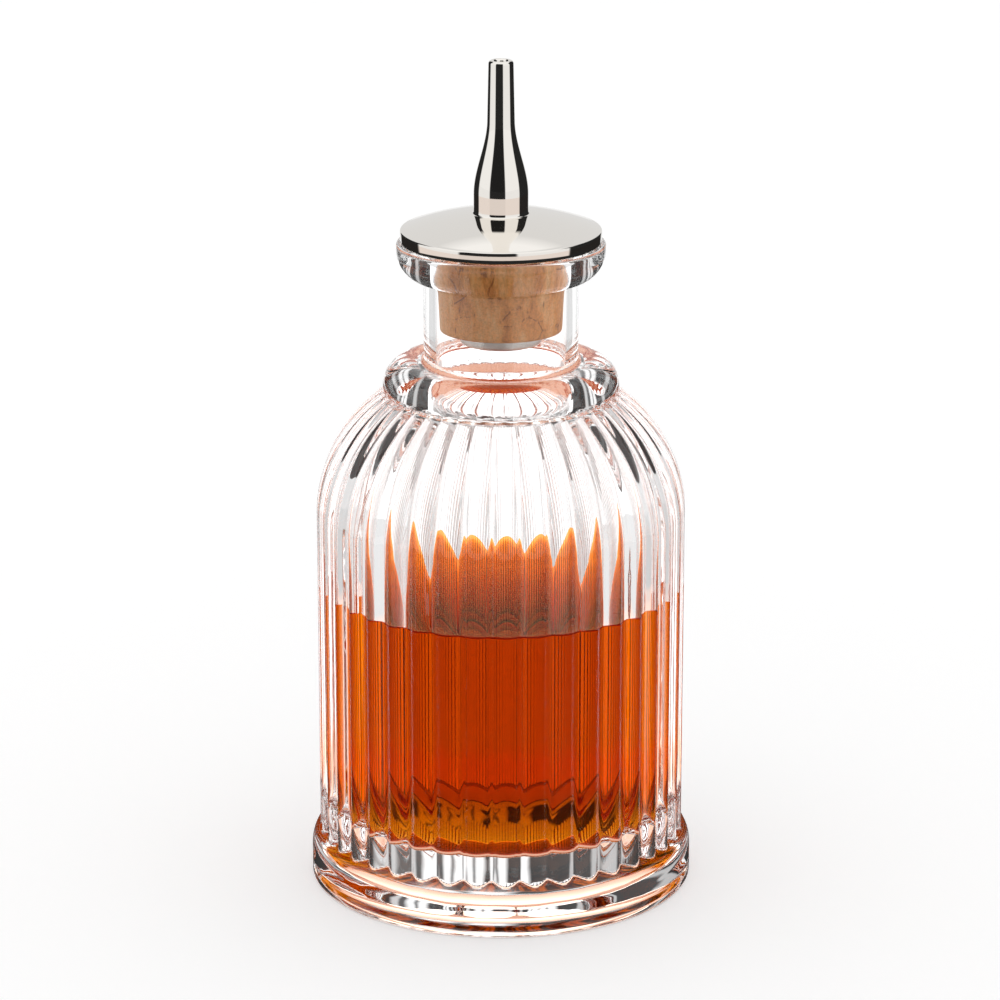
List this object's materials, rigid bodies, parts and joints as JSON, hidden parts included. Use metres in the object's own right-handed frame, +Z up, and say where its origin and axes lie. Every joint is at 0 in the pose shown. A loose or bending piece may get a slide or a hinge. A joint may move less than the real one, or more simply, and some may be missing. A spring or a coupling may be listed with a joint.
{
  "type": "dasher bottle",
  "caption": "Ribbed clear glass bottle part filled with bitters, with a lift-out stopper: metal dasher spout on a domed disc, stem tube and tapered cork.",
  "frame": {"origin": "centre of the foot, on the plane that the bottle stands on", "axes": "+Z up along the bottle's axis, towards the spout; -Y faces the viewer"},
  "size_m": [0.064, 0.064, 0.1394],
  "materials": {
    "clear_glass": "clear, fire polished",
    "bitters": "clear deep orange liquid",
    "polished_nickel": "mirror polished nickel plate",
    "cork": "natural ground cork",
    "satin_nickel": "satin"
  },
  "bodies": {
    "bottle": {"glass_bottle": "clear_glass", "bitters_liquid": "bitters"},
    "stopper": {"cap_disc": "polished_nickel", "spout": "polished_nickel", "stem_tube": "polished_nickel", "cork_sleeve": "cork", "end_ferrule": "satin_nickel"}
  },
  "joints": [
    {"name": "stopper_lift", "type": "slide", "parent": "bottle", "child": "stopper", "axis": [0, 0, 1], "range_m": [0, 0.045]}
  ]
}
